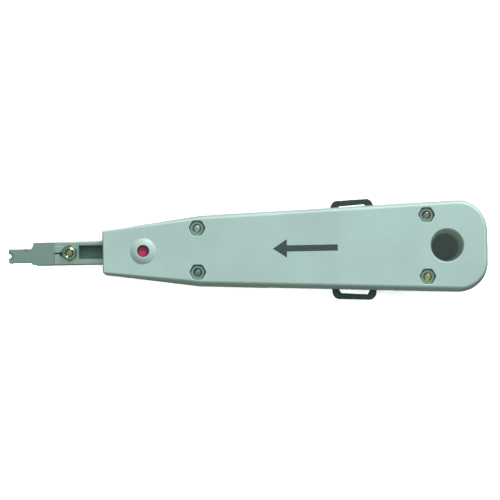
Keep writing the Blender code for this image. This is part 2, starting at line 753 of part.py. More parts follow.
def lock_pin():
    """The red pin in the dome; pushed in, its collar fills the carrier's keyhole."""
    profile = [
        (0.0, PIN_TOP_Z),
        (PIN_RADIUS - 0.4, PIN_TOP_Z),
        (PIN_RADIUS, PIN_TOP_Z - 0.4),
        (PIN_RADIUS, PIN_COLLAR_Z[1]),
        (PIN_COLLAR_RADIUS, PIN_COLLAR_Z[1]),
        (PIN_COLLAR_RADIUS, PIN_COLLAR_Z[0]),
        (PIN_WAIST_RADIUS, PIN_COLLAR_Z[0]),
        (PIN_WAIST_RADIUS, PIN_END_Z),
        (0.0, PIN_END_Z),
    ]
    turned("lock_pin", profile, PIN_PLASTIC, (DOME_X, 0, 0))


# ---- swing-out hook and blade ----


def ring_corners():
    """The round end of an arm about its pivot, from its inner to its outer edge."""
    points = []
    for step in range(13):
        angle = math.radians(-95 + 190 * step / 12)
        points.append((ARM_RING_RADIUS * math.cos(angle), ARM_RING_RADIUS * math.sin(angle), 0))
    return points


def finger_loop(base, reach, taper, radius):
    """Corners of a finger loop: its ends' x at the arm, its outer y and how its legs lean."""
    lean = SIDE_SLOPE * (base[1] - base[0] - 2 * taper) / 2
    edge = 4.1
    return [
        (base[1] + 0.3, ARM_HALF_WIDTH, 0.5),
        (base[1], edge, 0),
        (base[1] - taper, reach + lean, radius),
        (base[0] + taper, reach - lean, radius),
        (base[0], edge - 0.5, 0),
        (base[0] - 0.3, ARM_HALF_WIDTH, 0.5),
    ]


def loop_hole(base, reach, bar):
    """The opening inside a finger loop, whose outer bar is bar thick."""
    lean = SIDE_SLOPE * (base[1] - base[0]) / 2
    return [
        (base[1] - 3.2, reach - bar + lean, 0.5),
        (base[0] + 3.2, reach - bar - lean, 0.5),
        (base[0] + 1.8, 2.6, 0.5),
        (base[1] - 1.8, 2.6, 0.5),
    ]


def arm(name, hand, base, reach, taper, radius, bar, end):
    """A flat arm on a rear case screw: hand is 1 for +Y and -1 for -Y."""
    half = ARM_HALF_WIDTH
    loop = finger_loop(base, reach, taper, radius)
    corners = ring_corners() + [(-6.0, half, 2.0)] + loop + end + [(-6.0, -half, 2.0)]
    hole = loop_hole(base, reach, bar)
    bore = circle(0, 0, SCREW_RADIUS + 0.12)
    if hand < 0:
        corners = mirrored(corners)
        hole = mirrored(hole)
    made = plate(name, [rounded(corners), rounded(hole), bore], SWING_Z, DARK_STEEL)
    made.location = point(SWING_PIVOT_X, hand * SWING_PIVOT_Y, 0)
    washer_z = (
        (SWING_Z[0] - CLEAR - WASHER_THICKNESS, SWING_Z[0] - CLEAR),
        (SWING_Z[1] + CLEAR, SWING_Z[1] + CLEAR + WASHER_THICKNESS),
    )
    for place_name, z_range in zip(("lower", "upper"), washer_z):
        loops = [circle(0, 0, 3.0), circle(0, 0, SCREW_RADIUS + 0.12)]
        washer = plate(f"{name}_{place_name}_washer", loops, z_range, BRIGHT_STEEL)
        washer.location = point(SWING_PIVOT_X, hand * SWING_PIVOT_Y, 0)


def detent_spring(name, hand):
    """A bowed leaf that presses on the inner edge of a folded arm."""
    steps = 10
    near = []
    far = []
    for step in range(steps + 1):
        x = 26.0 + 20.0 * step / steps
        y = 8.05 + 0.35 * math.sin(math.pi * step / steps)
        near.append((x, hand * y))
        far.append((x, hand * (y + 0.35)))
    plate(name, [near + far[::-1]], (8.15, 9.85), SPRING_STEEL)


def hook_and_blade():
    hook_end = [
        (-43.0, 2.5, 2.0),
        (-47.5, 0.8, 2.0),
        (-57.4, 0.8, 0.7),
        (-57.4, -2.3, 0.4),
        (-56.2, -2.3, 0.4),
        (-55.8, -1.0, 0.4),
        (-47.5, -1.2, 2.0),
        (-43.0, -2.5, 2.0),
    ]
    blade_end = [
        (-47.0, 2.5, 3.0),
        (-57.6, -1.9, 0.3),
        (-57.0, -2.5, 0.3),
    ]
    arm("hook", 1, (-35.4, -19.25), 6.55, 1.1, 2.2, 1.8, hook_end)
    arm("blade", -1, (-35.25, -18.55), 7.7, 0.5, 2.8, 1.95, blade_end)
    detent_spring("hook_detent_spring", 1)
    detent_spring("blade_detent_spring", -1)


def build():
    shell("lower_shell", -1)
    shell("upper_shell", 1)
    case_screws_and_nuts()
    front_guide()
    carrier()
    insertion_tip()
    fixed_blade()
    moving_blade()
    cam_plate()
    sensor()
    pivot_screw_and_nut()
    plunger_rod()
    return_spring()
    lock_pin()
    hook_and_blade()


build()
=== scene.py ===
"""Looks of the sensor insertion tool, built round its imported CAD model.

Lengths are in millimetres in the constants and in metres in the meshes; mm() and
point() convert. +X runs from the fork to the hanging hole, +Z is the nut side.
"""

import json
import math

import bmesh
import bpy
from mathutils import Matrix, Vector


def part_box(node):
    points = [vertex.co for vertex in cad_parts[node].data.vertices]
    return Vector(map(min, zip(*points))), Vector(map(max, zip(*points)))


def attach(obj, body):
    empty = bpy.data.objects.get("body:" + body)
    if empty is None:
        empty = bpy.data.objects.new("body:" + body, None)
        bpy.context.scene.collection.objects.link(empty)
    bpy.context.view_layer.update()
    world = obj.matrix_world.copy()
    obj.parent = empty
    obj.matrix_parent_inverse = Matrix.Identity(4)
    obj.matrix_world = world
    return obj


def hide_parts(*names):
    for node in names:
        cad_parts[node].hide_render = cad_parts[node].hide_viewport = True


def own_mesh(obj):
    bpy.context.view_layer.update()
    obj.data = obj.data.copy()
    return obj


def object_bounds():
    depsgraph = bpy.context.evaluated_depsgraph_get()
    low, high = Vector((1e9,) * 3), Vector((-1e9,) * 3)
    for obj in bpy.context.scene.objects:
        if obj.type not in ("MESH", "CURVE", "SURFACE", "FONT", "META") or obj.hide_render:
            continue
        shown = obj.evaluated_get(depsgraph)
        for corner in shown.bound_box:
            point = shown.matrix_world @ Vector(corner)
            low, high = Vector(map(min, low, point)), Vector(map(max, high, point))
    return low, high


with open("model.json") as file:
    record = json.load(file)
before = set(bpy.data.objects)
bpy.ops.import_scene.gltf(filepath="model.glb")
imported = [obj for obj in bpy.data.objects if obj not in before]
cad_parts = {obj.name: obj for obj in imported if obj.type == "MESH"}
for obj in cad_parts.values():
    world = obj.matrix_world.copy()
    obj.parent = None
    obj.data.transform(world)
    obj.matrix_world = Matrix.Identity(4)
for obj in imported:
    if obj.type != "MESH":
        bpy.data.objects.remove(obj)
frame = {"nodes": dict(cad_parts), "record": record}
cad_low, cad_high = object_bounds()
scene = bpy.context.scene


def mm(value):
    return value * 0.001


def point(x, y, z):
    return Vector((mm(x), mm(y), mm(z)))


def node_box(name):
    """A CAD node's lowest and highest corners, in millimetres."""
    low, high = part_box(name)
    return low * 1000, high * 1000


def node_middle(name):
    low, high = node_box(name)
    return (low + high) / 2


# ---- places taken from the CAD model, in millimetres ----

TIP_X = cad_low.x * 1000
FRONT_X = node_box("upper_shell")[0].x
DOME_X = node_middle("lock_pin").x
PIVOT_X = node_middle("pivot_nut").x
SCREW_SPOTS = [tuple(node_middle(f"case_nut_{n}"))[:2] for n in (1, 2, 3, 4)]
HANG_BOX = frame["record"]["physics"]["openings"][0]["box_m"]
HANG_X = (HANG_BOX[0][0] + HANG_BOX[1][0]) * 500
# The rear end bulges to a blunt corner whose rounding takes 0.03 off
REAR_X = node_box("upper_shell")[1].x + 0.03

# ---- driving sizes, in millimetres ----

# Handle: its outline, and the small gap on each side of the parting plane
THICKNESS = 18.0
PARTING_Z = THICKNESS / 2
FRONT_HALF_WIDTH = 8.14
BREAK_X = -18.0
BREAK_HALF_WIDTH = 13.2
SIDE_SLOPE = math.tan(math.radians(2.37))
REAR_CORNER_RADIUS = 11.0
REAR_BULGE = 0.3
HALF_GAP = 0.035
# Where the drafted wall ends: height over the parting plane, then its three insets
DRAFT_TOP = (8.1, 0.98, 0.36, 0.28)
DRAFT_DEGREES = 4
# How far the rolled edge turns in at the sides, the mouth's sides and its face
ROLL_INSETS = (1.15, 0.60, 0.52)
DOME_RADIUS = 4.8
DOME_RISE = 1.15
PIN_RADIUS = 2.12
PIN_HOLE_RADIUS = 2.2
POCKET_REACH = 3.19
POCKET_ROLL = 0.3
# Cutters through the whole handle run past both of its faces
THROUGH_Z = (-1, 19)

# Screws and nuts
THREAD_CREST = 1.5
NUT_LOW_Z = 14.8
NUT_TOP_Z = 16.85
BORE_SLOPE = 1.2

# Carrier and nose
CARRIER_HALF = 4.2
CARRIER_LOW_Z = PARTING_Z - CARRIER_HALF
CARRIER_TOP_Z = PARTING_Z + CARRIER_HALF
CARRIER_FRONT_X = -72.05
NOSE_REAR_X = -72.07
NOSE_Y = -0.68
SLIT_END = (-69.1, -0.3)
SLIT_END_RADIUS = 1.0
PIVOT_BORE = 1.6

# Hook and blade
ARM_HALF_WIDTH = 2.5
ARM_Z = (8.35, 9.65)

# ---- small geometry helpers ----

CORNER_SIGNS = ((-1, -1), (1, -1), (1, 1), (-1, 1))


def offset_corner(before, corner, after, first_inset, second_inset):
    """A corner of an outline after the edges that meet there move inward."""
    first = (corner - before).normalized()
    second = (after - corner).normalized()
    first_in = Vector((-first.y, first.x))
    second_in = Vector((-second.y, second.x))
    share = first_in.dot(second_in)
    along_first = first_in * (first_inset - second_inset * share)
    along_second = second_in * (second_inset - first_inset * share)
    return corner + (along_first + along_second) / (1.0 - share * share)


def corner_arc(before, corner, after, radius, steps):
    """The points that round one corner, whichever way it turns."""
    back = (before - corner).normalized()
    ahead = (after - corner).normalized()
    half = back.angle(ahead) / 2
    start = corner + back * (radius / math.tan(half))
    centre = corner + (back + ahead).normalized() * (radius / math.sin(half))
    turn = math.pi - 2 * half
    if back.cross(ahead) > 0:
        turn = -turn
    arm = start - centre
    return [tuple(centre + Matrix.Rotation(turn * step / steps, 2) @ arm) for step in range(steps + 1)]


def rounded(corners, fineness=8):
    """An outline of (x, y, radius) corners, each rounded by its own radius."""
    points = []
    count = len(corners)
    for index, (x, y, radius) in enumerate(corners):
        if radius == 0:
            points.append((x, y))
            continue
        before = Vector(corners[index - 1][:2])
        after = Vector(corners[(index + 1) % count][:2])
        points += corner_arc(before, Vector((x, y)), after, radius, fineness)
    return points


def circle(x, y, radius, steps=48):
    angles = [2 * math.pi * step / steps for step in range(steps)]
    return [(x + radius * math.cos(a), y + radius * math.sin(a)) for a in angles]


def mirrored(corners):
    """An outline flipped across the tool's axis, still counter-clockwise."""
    return [(x, -y, radius) for x, y, radius in reversed(corners)]


def case_outline(side_inset, mouth_side_inset, mouth_face_inset):
    """The handle's outline, moved inward by its sides' and its mouth's insets."""
    rear_x = REAR_X - REAR_BULGE
    rear_half = BREAK_HALF_WIDTH + (rear_x - BREAK_X) * SIDE_SLOPE
    lower = [
        (FRONT_X, -FRONT_HALF_WIDTH, 1.6, 6),
        (BREAK_X, -BREAK_HALF_WIDTH, 26.0, 8),
        (rear_x, -rear_half, REAR_CORNER_RADIUS, 28),
    ]
    upper = [(x, -y, radius, steps) for x, y, radius, steps in reversed(lower)]
    corners = lower + [(REAR_X, 0.0, 200.0, 6)] + upper
    count = len(corners)
    spots = [Vector(corner[:2]) for corner in corners]
    insets = [(side_inset, side_inset)] * count
    insets[0] = (mouth_face_inset, mouth_side_inset)
    insets[-1] = (mouth_side_inset, mouth_face_inset)
    moved = [
        offset_corner(spots[i - 1], spots[i], spots[(i + 1) % count], *insets[i]) for i in range(count)
    ]
    points = []
    for index, (_, _, radius, steps) in enumerate(corners):
        radius = max(radius - side_inset, 0.4)
        points += corner_arc(moved[index - 1], moved[index], moved[(index + 1) % count], radius, steps)
    return points


# ---- solids ----


def add(name, mesh):
    made = bpy.data.objects.new(name, mesh)
    scene.collection.objects.link(made)
    return made


def from_bmesh(name, cage):
    bmesh.ops.recalc_face_normals(cage, faces=cage.faces)
    if cage.calc_volume(signed=True) < 0:
        bmesh.ops.reverse_faces(cage, faces=cage.faces)
    mesh = bpy.data.meshes.new(name)
    cage.to_mesh(mesh)
    cage.free()
    return add(name, mesh)


def skin(name, rings):
    """A closed solid through rings of points; each ring has the same count."""
    cage = bmesh.new()
    rows = [[cage.verts.new(spot) for spot in ring] for ring in rings]
    cage.faces.new(reversed(rows[0]))
    cage.faces.new(rows[-1])
    for low, high in zip(rows, rows[1:]):
        for index in range(len(low)):
            after = (index + 1) % len(low)
            cage.faces.new((low[index], low[after], high[after], high[index]))
    return from_bmesh(name, cage)


def loft(name, outlines, heights):
    return skin(name, [[point(x, y, z) for x, y in outline] for outline, z in zip(outlines, heights)])


def box(name, x_range, y_range, z_range):
    cage = bmesh.new()
    low = point(x_range[0], y_range[0], z_range[0])
    high = point(x_range[1], y_range[1], z_range[1])
    bmesh.ops.create_cube(cage, size=1.0)
    bmesh.ops.scale(cage, vec=high - low, verts=cage.verts)
    bmesh.ops.translate(cage, vec=(low + high) / 2, verts=cage.verts)
    return from_bmesh(name, cage)


def frustum_box(name, x_range, y_range, z_range, flare):
    """A box whose top is wider by flare on each side, to chamfer an opening."""
    outlines = []
    for grow in (0, flare):
        left, right = x_range[0] - grow, x_range[1] + grow
        near, far = y_range[0] - grow, y_range[1] + grow
        outlines.append([(left, near), (right, near), (right, far), (left, far)])
    return loft(name, outlines, z_range)


def stack(name, spot, profile, sides=48, turn=0.0):
    """An upright prism or turned solid through (radius, height) pairs, going up."""
    x, y = spot
    rings = []
    for radius, z in profile:
        angles = [turn + 2 * math.pi * step / sides for step in range(sides)]
        rings.append([point(x + radius * math.cos(a), y + radius * math.sin(a), z) for a in angles])
    return skin(name, rings)


def cylinder(name, spot, radius, z_range, sides=48):
    return stack(name, spot, [(radius, z) for z in z_range], sides)


def along_x(name, profile, centre, sides=48):
    """A turned solid whose axis runs along X, through (x, radius) pairs."""
    y, z = centre
    rings = []
    for x, radius in profile:
        angles = [2 * math.pi * step / sides for step in range(sides)]
        rings.append([point(x, y + radius * math.cos(a), z + radius * math.sin(a)) for a in angles])
    return skin(name, rings)


def square(reach, radius, fineness):
    """A square outline from -reach to reach with rounded corners."""
    return rounded([(a * reach, b * reach, radius) for a, b in CORNER_SIGNS], fineness)


def beam(name, x_range, half, centre, radius, chamfer):
    """A square bar along X with rounded long edges and small end chamfers."""
    y, z = centre
    start, end = x_range
    steps = [(start, chamfer), (start + chamfer, 0.0), (end - chamfer, 0.0), (end, chamfer)]
    rings = []
    for x, inset in steps:
        rings.append([point(x, y + a, z + b) for a, b in square(half - inset, radius, 5)])
    return skin(name, rings)


def plate(name, loops, z_range, rim=0.1):
    """A flat piece with small rounded rims: an outline and its holes."""
    curve = bpy.data.curves.new(name + "_outline", "CURVE")
    curve.dimensions = "2D"
    curve.fill_mode = "BOTH"
    curve.bevel_depth = mm(rim)
    curve.bevel_resolution = 2
    curve.offset = -mm(rim)
    curve.extrude = mm(z_range[1] - z_range[0]) / 2 - mm(rim)
    for loop in loops:
        spline = curve.splines.new("POLY")
        spline.points.add(len(loop) - 1)
        spline.use_cyclic_u = True
        for control, (x, y) in zip(spline.points, loop):
            control.co = (mm(x), mm(y), 0.0, 1.0)
    return curve_solid(name, curve, mm(sum(z_range) / 2))


def curve_solid(name, curve, height=0.0):
    """The closed mesh that a curve makes, raised by height."""
    guide = bpy.data.objects.new(name + "_curve", curve)
    scene.collection.objects.link(guide)
    graph = bpy.context.evaluated_depsgraph_get()
    mesh = bpy.data.meshes.new_from_object(guide.evaluated_get(graph))
    bpy.data.objects.remove(guide, do_unlink=True)
    cage = bmesh.new()
    cage.from_mesh(mesh)
    bmesh.ops.remove_doubles(cage, verts=cage.verts, dist=1e-6)
    bmesh.ops.translate(cage, vec=(0.0, 0.0, height), verts=cage.verts)
    return from_bmesh(name, cage)


def coil(name, x_range, centre, radius, wire, turns, per_turn=28):
    """A compression spring along X whose end turns lie flat."""
    curve = bpy.data.curves.new(name, "CURVE")
    curve.dimensions = "3D"
    curve.bevel_depth = mm(wire / 2)
    curve.bevel_resolution = 3
    curve.use_fill_caps = True
    spline = curve.splines.new("POLY")
    steps = int(turns * per_turn)
    spline.points.add(steps)
    low, high = x_range[0] + wire / 2, x_range[1] - wire / 2
    full_turn = 0.9 / turns
    flat = full_turn * 0.6
    for step, control in enumerate(spline.points):
        share = step / steps
        angle = 2 * math.pi * turns * share
        if share < flat:
            x = low + wire * 0.3 * share / full_turn
        else:
            x = low + (high - low) * min(max((share - flat) / (1 - full_turn * 1.2), 0.0), 1.0)
        x = min(max(x, low), high)
        y = centre[0] + radius * math.sin(angle)
        z = centre[1] + radius * math.cos(angle)
        control.co = (*point(x, y, z), 1.0)
    return curve_solid(name, curve)


def shape(target, joins=(), cuts=(), crosses=()):
    """Joins, cuts and intersects a solid with others, which are used up."""
    for operation, tools in (("UNION", joins), ("INTERSECT", crosses), ("DIFFERENCE", cuts)):
        for tool in tools:
            modifier = target.modifiers.new(tool.name, "BOOLEAN")
            modifier.operation = operation
            modifier.object = tool
            modifier.solver = "MANIFOLD"
    graph = bpy.context.evaluated_depsgraph_get()
    mesh = bpy.data.meshes.new_from_object(target.evaluated_get(graph))
    target.modifiers.clear()
    target.data = mesh
    for tool in (*joins, *cuts, *crosses):
        bpy.data.objects.remove(tool, do_unlink=True)
    return target


def turn_to_y(piece, x, z):
    """Stands an upright solid, made at the origin, along Y at x and z."""
    piece.data.transform(Matrix.Translation(point(x, 0, z)) @ Matrix.Rotation(math.pi / 2, 4, "X"))
    return piece


# ---- materials ----


class Look:
    """A Principled material and the nodes that drive it, from object coordinates."""

    def __init__(self, name, roughness, metallic=0.0, **values):
        self.material = bpy.data.materials.new(name)
        self.material.use_nodes = True
        self.nodes = self.material.node_tree.nodes
        self.links = self.material.node_tree.links
        self.shader = self.nodes["Principled BSDF"]
        self.shader.inputs["Roughness"].default_value = roughness
        self.shader.inputs["Metallic"].default_value = metallic
        for socket, value in values.items():
            self.shader.inputs[socket.replace("_", " ")].default_value = value
        self.coordinates = self.nodes.new("ShaderNodeTexCoord").outputs["Object"]
        self.heights = []

    def noise(self, size, detail=3.0, stretch=(1, 1, 1), roughness=0.55):
        """Noise with features about size millimetres across, longer along stretch."""
        mapping = self.nodes.new("ShaderNodeMapping")
        mapping.inputs["Scale"].default_value = [1000 / size / s for s in stretch]
        self.links.new(self.coordinates, mapping.inputs["Vector"])
        noise = self.nodes.new("ShaderNodeTexNoise")
        noise.inputs["Scale"].default_value = 1.0
        noise.inputs["Detail"].default_value = detail
        noise.inputs["Roughness"].default_value = roughness
        self.links.new(mapping.outputs["Vector"], noise.inputs["Vector"])
        return noise.outputs["Fac"]

    def spread(self, value, low, high, to_low=0.0, to_high=1.0):
        """Maps low..high of a value to to_low..to_high, clamped."""
        node = self.nodes.new("ShaderNodeMapRange")
        node.inputs["From Min"].default_value = low
        node.inputs["From Max"].default_value = high
        node.inputs["To Min"].default_value = to_low
        node.inputs["To Max"].default_value = to_high
        self.links.new(value, node.inputs["Value"])
        return node.outputs["Result"]

    def math(self, operation, first, second):
        node = self.nodes.new("ShaderNodeMath")
        node.operation = operation
        for socket, value in zip(node.inputs, (first, second)):
            if isinstance(value, float):
                socket.default_value = value
            else:
                self.links.new(value, socket)
        return node.outputs["Value"]

    def axis(self, letter):
        """One object coordinate, in metres."""
        node = self.nodes.new("ShaderNodeSeparateXYZ")
        self.links.new(self.coordinates, node.inputs["Vector"])
        return node.outputs[letter]

    def mix(self, factor, first, second):
        node = self.nodes.new("ShaderNodeMix")
        node.data_type = "RGBA"
        self.links.new(factor, node.inputs["Factor"])
        for socket, value in ((node.inputs["A"], first), (node.inputs["B"], second)):
            if isinstance(value, tuple):
                socket.default_value = (*value, 1.0)
            else:
                self.links.new(value, socket)
        return node.outputs["Result"]

    def colour(self, result):
        self.links.new(result, self.shader.inputs["Base Color"])

    def gloss(self, result):
        self.links.new(result, self.shader.inputs["Roughness"])

    def bump(self, result, depth, strength=1.0):
        """Adds relief of that depth in millimetres."""
        node = self.nodes.new("ShaderNodeBump")
        node.inputs["Distance"].default_value = mm(depth)
        node.inputs["Strength"].default_value = strength
        self.links.new(result, node.inputs["Height"])
        if self.heights:
            self.links.new(self.heights[-1], node.inputs["Normal"])
        self.heights.append(node.outputs["Normal"])
        self.links.new(node.outputs["Normal"], self.shader.inputs["Normal"])


def scaled(colour, factor):
    return tuple(min(channel * factor, 1.0) for channel in colour)


def case_plastic():
    """Grey-green moulded plastic: fine spark texture, faint mottling, and rolled edges paler in
    patches, a painted sheen as well as rub wear.
    """
    base = (0.403, 0.552, 0.522)
    look = Look("mint_case", 0.5)
    clouds = look.spread(look.noise(22, 3), 0.35, 0.65)
    mottled = look.mix(clouds, scaled(base, 0.95), scaled(base, 1.05))
    grains = look.spread(look.noise(0.35, 2), 0.35, 0.65)
    grained = look.mix(look.math("MULTIPLY", grains, 0.35), mottled, scaled(base, 0.84))
    away = look.math("ABSOLUTE", look.math("SUBTRACT", look.axis("Z"), mm(PARTING_Z)), 0.0)
    above_wall = look.spread(away, mm(8.2), mm(8.6))
    below_face = look.spread(away, mm(8.99), mm(8.93))
    rim = look.math("MULTIPLY", above_wall, below_face)
    # The rolled edges of both shells are made paler in patches: painted sheen as well as rub wear.
    worn = look.math("MULTIPLY", rim, look.spread(look.noise(2.5, 5), 0.48, 0.7))
    sheen_and_rub_wear = look.mix(look.math("MULTIPLY", worn, 0.35), grained, scaled(base, 1.3))
    scuffs = look.spread(look.noise(0.5, 4, (14, 1, 1)), 0.69, 0.8)
    look.colour(look.mix(look.math("MULTIPLY", scuffs, 0.25), sheen_and_rub_wear, scaled(base, 0.8)))
    look.gloss(look.spread(look.noise(6, 4), 0.3, 0.7, 0.42, 0.58))
    look.bump(look.noise(0.45, 3), 0.025, 0.6)
    return look.material


def pin_plastic():
    """Glossy magenta plastic with a faint swirl."""
    base = (0.46, 0.02, 0.09)
    look = Look("magenta_pin", 0.3, Coat_Weight=0.3, Coat_Roughness=0.12)
    swirl = look.spread(look.noise(1.2, 3), 0.35, 0.65)
    look.colour(look.mix(swirl, scaled(base, 0.8), scaled(base, 1.15)))
    look.gloss(look.spread(look.noise(0.5, 3), 0.3, 0.7, 0.22, 0.4))
    look.bump(look.noise(0.6, 2), 0.02, 0.4)
    return look.material


def guide_plastic():
    """Black plastic of the inner pieces, faintly cloudy."""
    base = (0.055, 0.062, 0.060)
    look = Look("black_acetal", 0.5)
    clouds = look.spread(look.noise(1.5, 4), 0.3, 0.7)
    look.colour(look.mix(clouds, scaled(base, 0.75), scaled(base, 1.3)))
    look.gloss(look.spread(look.noise(0.8, 3), 0.3, 0.7, 0.4, 0.6))
    look.bump(look.noise(0.3, 2), 0.01, 0.5)
    return look.material


def steel(name, base, rough, grain, stretch, tint, patches=6.0, relief=0.006, polish=None):
    """Steel with grain, cloudy tarnish and dark specks.

    base and tint are its two colours, and rough is its roughness. grain is the width of the
    streaks and patches that of the tarnish, in millimetres; stretch draws the streaks out.
    polish is (start x, end x, colour), for a brighter end.
    """
    look = Look(name, rough, 1.0)
    cloudy = look.mix(look.spread(look.noise(patches, 5), 0.35, 0.68), base, tint)
    streaks = look.noise(grain, 3, stretch)
    lines = look.math("MULTIPLY", look.spread(streaks, 0.35, 0.7), 0.4)
    lined = look.mix(lines, cloudy, scaled(base, 0.72))
    specks = look.spread(look.noise(0.6, 2), 0.7, 0.78)
    worn = look.mix(look.math("MULTIPLY", specks, 0.4), lined, scaled(base, 0.4))
    if polish:
        start, end, polished = polish
        worn = look.mix(look.spread(look.axis("X"), mm(start), mm(end)), worn, polished)
    look.colour(worn)
    look.gloss(look.spread(streaks, 0.25, 0.75, rough * 0.8, min(rough * 1.25, 1.0)))
    look.bump(streaks, relief, 0.6)
    return look.material


def painted_shade_blade():
    """Dull blade steel darkened overall and more toward its +Y edge: painted shade, the shadow that
    the carrier's upper rail casts into its window.
    """
    look = Look("painted_shade_blade", 0.45, 1.0)
    # Painted shade: the whole plate is dark, and darkest toward +Y, where the carrier's upper rail
    # shades the window.
    across = look.spread(look.axis("Y"), mm(-2.2), mm(2.2))
    painted_rail_shade = look.mix(across, (0.25, 0.37, 0.335), (0.085, 0.15, 0.128))
    streaks = look.noise(0.2, 3, (12, 1, 1))
    lines = look.math("MULTIPLY", look.spread(streaks, 0.35, 0.7), 0.3)
    look.colour(look.mix(lines, painted_rail_shade, (0.07, 0.11, 0.098)))
    look.gloss(look.spread(streaks, 0.25, 0.75, 0.38, 0.55))
    look.bump(streaks, 0.005, 0.6)
    return look.material


CARRIER_BASE, CARRIER_TINT = (0.49, 0.69, 0.63), (0.50, 0.64, 0.56)
TIP_BASE, TIP_TINT, TONGUE_BASE = (0.33, 0.50, 0.455), (0.37, 0.51, 0.45), (0.44, 0.63, 0.57)
TONGUE_START = (-72.4, -71.4)
ALONG_Z = (1, 1, 2)

LOOKS = {
    "case_plastic": case_plastic(),
    "pin_plastic": pin_plastic(),
    "guide_plastic": guide_plastic(),
    "tip_steel": steel(
        "satin_tip", TIP_BASE, 0.42, 0.15, (5, 1, 1), TIP_TINT, polish=(*TONGUE_START, TONGUE_BASE)
    ),
    "carrier_steel": steel("brushed_carrier", CARRIER_BASE, 0.38, 0.12, (24, 1, 1), CARRIER_TINT),
    "bright_steel": steel(
        "plated_steel", (0.36, 0.45, 0.395), 0.28, 0.25, ALONG_Z, (0.40, 0.39, 0.22), patches=9.0
    ),
    "blade_steel": steel(
        "ground_blade", (0.46, 0.49, 0.48), 0.3, 0.08, (1, 18, 1), (0.42, 0.43, 0.40)
    ),
    "dark_steel": steel(
        "blackened_steel",
        (0.058, 0.092, 0.09),
        0.42,
        0.5,
        (2, 2, 1),
        (0.085, 0.14, 0.135),
        patches=2.5,
        relief=0.012,
    ),
    "spring_steel": steel(
        "drawn_wire", (0.42, 0.42, 0.40), 0.32, 0.1, (8, 1, 1), (0.36, 0.34, 0.28)
    ),
}
# Finishes that only one kind of piece has
NUT_STEEL = steel("zinc_nut", (0.41, 0.57, 0.51), 0.32, 0.3, ALONG_Z, (0.38, 0.50, 0.41), 1.6)
PIVOT_STEEL = steel(
    "pivot_plating", (0.52, 0.70, 0.64), 0.22, 0.3, ALONG_Z, (0.40, 0.54, 0.46), 1.6
)
SHADED_BLADE = painted_shade_blade()
YELLOW_ZINC = steel("yellow_zinc", (0.46, 0.44, 0.23), 0.28, 0.3, ALONG_Z, (0.28, 0.34, 0.20), 1.2)


def screw_end(name, base, rough, tint):
    return steel(name, base, rough, 0.25, ALONG_Z, tint, 1.2)


# The four case screw ends are tinted differently; the keys say whether x and y are positive
SCREW_STEELS = {
    (False, True): screw_end("bright_end", (0.70, 0.82, 0.76), 0.3, (0.40, 0.52, 0.46)),
    (False, False): screw_end("dull_end", (0.29, 0.42, 0.37), 0.36, (0.19, 0.30, 0.26)),
    (True, True): screw_end("grey_brown_end", (0.44, 0.43, 0.38), 0.26, (0.30, 0.28, 0.22)),
    (True, False): screw_end("yellow_end", (0.76, 0.78, 0.42), 0.28, (0.42, 0.46, 0.15)),
}


def grey_ink():
    look = Look("grey_ink", 0.6)
    cover = look.spread(look.noise(0.5, 4), 0.4, 0.75)
    look.colour(look.mix(cover, (0.022, 0.054, 0.045), (0.05, 0.09, 0.078)))
    return look.material


# ---- putting pieces in their places ----

SOFT_ANGLE = math.radians(30)
BODIES = frame["record"]["behaviour"]["bodies"]
BODY_OF = {node: body for body, nodes in BODIES.items() for node in nodes}
SLOT_OF = {part["node"]: part["material_slot"] for part in frame["record"]["subparts"]}


def finish(piece, node, look=None):
    """Shades a finer piece and puts it in the place of its CAD node."""
    mesh = piece.data
    mesh.materials.clear()
    mesh.materials.append(look or LOOKS[SLOT_OF[node]])
    mesh.shade_smooth()
    mesh.set_sharp_from_angle(angle=SOFT_ANGLE)
    weighted = piece.modifiers.new("Weighted", "WEIGHTED_NORMAL")
    weighted.keep_sharp = True
    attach(piece, BODY_OF[node])
    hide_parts(node)
    return piece


def squeeze(spring):
    """Gives a spring its own copy of its mesh."""
    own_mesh(spring)


# ---- handle ----


def wall_steps():
    """Height from the parting plane and the three insets, up a half shell's outside."""
    height, *insets = DRAFT_TOP
    steps = [
        (HALF_GAP, 0.10, 0.08, 0.08),
        (HALF_GAP + 0.1, 0.02, 0.01, 0.01),
        (4.0, 0.49, 0.18, 0.14),
    ]
    turns = 8
    draft = math.radians(DRAFT_DEGREES)
    low_sine, low_cosine = math.sin(draft), math.cos(draft)
    for step in range(turns + 1):
        angle = math.radians(DRAFT_DEGREES + (90 - DRAFT_DEGREES) * step / turns)
        up = (math.sin(angle) - low_sine) / (1 - low_sine)
        inward = (low_cosine - math.cos(angle)) / low_cosine
        rolled = [inset + inward * roll for inset, roll in zip(insets, ROLL_INSETS)]
        steps.append((height + (PARTING_Z - height) * up, *rolled))
    return steps


def dome():
    """The round boss, which falls away from the pin's hole to its foot."""
    profile = [(DOME_RADIUS, 16.5), (DOME_RADIUS, THICKNESS + 0.004)]
    for step in range(1, 14):
        radius = DOME_RADIUS - 0.2 * step
        rise = DOME_RISE * (1 - (radius / DOME_RADIUS) ** 2.7)
        profile.append((radius, THICKNESS + rise))
    top = profile[-1][1] - 0.02
    profile += [(PIN_RADIUS, top), (1.0, top)]
    return stack("dome", (DOME_X, 0), profile, 96)


def rolled_rim(roll, steps=4):
    """The (outward, up) steps of a quarter round, which rolls a hole's upper edge."""
    angles = [math.pi / 2 * step / steps for step in range(1, steps + 1)]
    return [(roll * (1 - math.cos(angle)), roll * math.sin(angle)) for angle in angles]


def upper_hang_hole():
    """The hanging hole's cutter in the upper shell: a slight cone with a rolled edge."""
    low_radius, radius, roll = 5.72, 6.1, 0.42
    profile = [(low_radius, 8.5), (radius, THICKNESS - roll)]
    profile += [(radius + out, THICKNESS - roll + up) for out, up in rolled_rim(roll)]
    profile.append((radius + roll + 0.4, THICKNESS + 0.4))
    return stack("hang", (HANG_X, 0), profile, 128)


